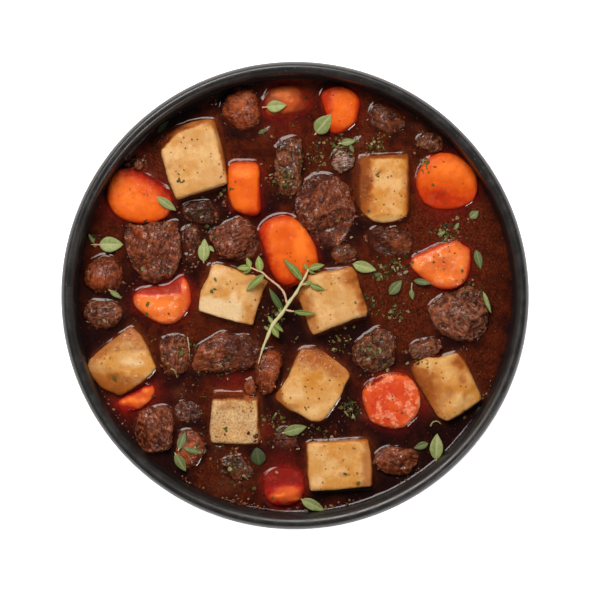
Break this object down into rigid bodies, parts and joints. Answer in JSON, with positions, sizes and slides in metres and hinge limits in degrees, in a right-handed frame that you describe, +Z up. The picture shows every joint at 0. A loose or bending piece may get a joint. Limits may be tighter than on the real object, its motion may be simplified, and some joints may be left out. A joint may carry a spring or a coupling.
{
  "type": "beef stew",
  "caption": "Round low-sided dark stoneware bowl filled with beef stew: potato cubes, carrot slices and beef chunks in thick broth under a thyme sprig.",
  "frame": {"origin": "middle of the underside of the bowl's foot, on the surface that it stands on", "axes": "+Z up out of the bowl, +Y away from the viewer across the top of the picture, +X to the right"},
  "size_m": [0.2, 0.2, 0.058],
  "materials": {
    "stoneware": "satin",
    "broth": "gloss",
    "potato": "satin",
    "carrot": "satin",
    "beef": "satin",
    "thyme": "matte"
  },
  "bodies": {
    "root": {"beef_01": "beef", "beef_02": "beef", "beef_03": "beef", "beef_04": "beef", "beef_05": "beef", "beef_06": "beef", "beef_07": "beef", "beef_08": "beef", "beef_09": "beef", "beef_10": "beef", "beef_11": "beef", "beef_12": "beef", "beef_13": "beef", "beef_14": "beef", "beef_15": "beef", "beef_16": "beef", "beef_17": "beef", "beef_18": "beef", "beef_19": "beef", "beef_20": "beef", "beef_21": "beef", "beef_22": "beef", "beef_23": "beef", "beef_24": "beef", "beef_25": "beef", "beef_26": "beef", "beef_27": "beef", "bowl": "stoneware", "broth": "broth", "carrot_01": "carrot", "carrot_02": "carrot", "carrot_03": "carrot", "carrot_04": "carrot", "carrot_05": "carrot", "carrot_06": "carrot", "carrot_07": "carrot", "carrot_08": "carrot", "carrot_09": "carrot", "carrot_10": "carrot", "carrot_11": "carrot", "potato_01": "potato", "potato_02": "potato", "potato_03": "potato", "potato_04": "potato", "potato_05": "potato", "potato_06": "potato", "potato_07": "potato", "potato_08": "potato", "potato_09": "potato", "thyme_sprig": "thyme"}
  },
  "joints": []
}
